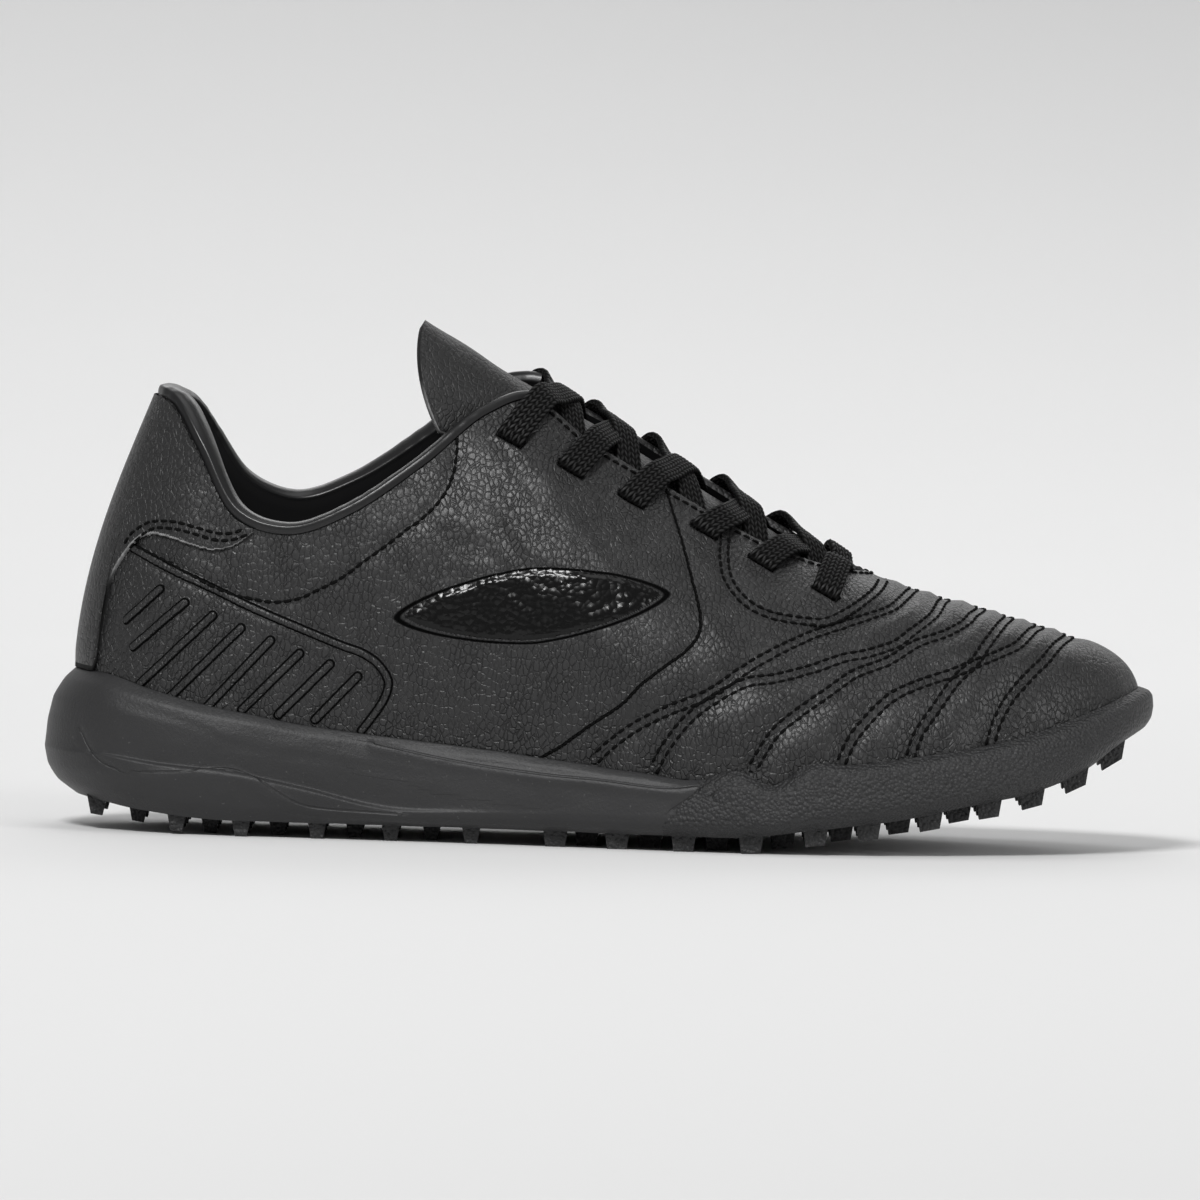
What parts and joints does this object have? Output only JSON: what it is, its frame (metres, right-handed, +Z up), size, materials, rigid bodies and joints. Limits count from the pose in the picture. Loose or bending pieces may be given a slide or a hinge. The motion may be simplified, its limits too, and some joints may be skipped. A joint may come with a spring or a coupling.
{
  "type": "turf shoe",
  "caption": "Right low-cut turf shoe with a hollow pebbled leather upper, arched tongue, flat laces, padded collar and a thick wedge sole with small rubber lugs.",
  "frame": {"origin": "on the floor, under the middle of the shoe's length and width", "axes": "+X from heel to toe, -Y to the outer side of the foot, +Z up"},
  "size_m": [0.2875, 0.1012, 0.1337],
  "materials": {
    "rubber": "matte, faintly dusty",
    "foam": "matte",
    "leather": "pebbled, satin",
    "lining": "smooth, soft",
    "cord": "braided, dull"
  },
  "bodies": {
    "root": {"outsole": "rubber", "midsole": "foam", "upper": "leather", "heel_counter": "leather", "collar_binding": "lining", "tongue": "leather", "insole": "lining", "lace_bar": "cord", "lace_crossing_1": "cord", "lace_crossing_2": "cord", "lace_crossing_3": "cord", "lace_crossing_4": "cord", "lace_crossing_5": "cord"}
  },
  "joints": []
}
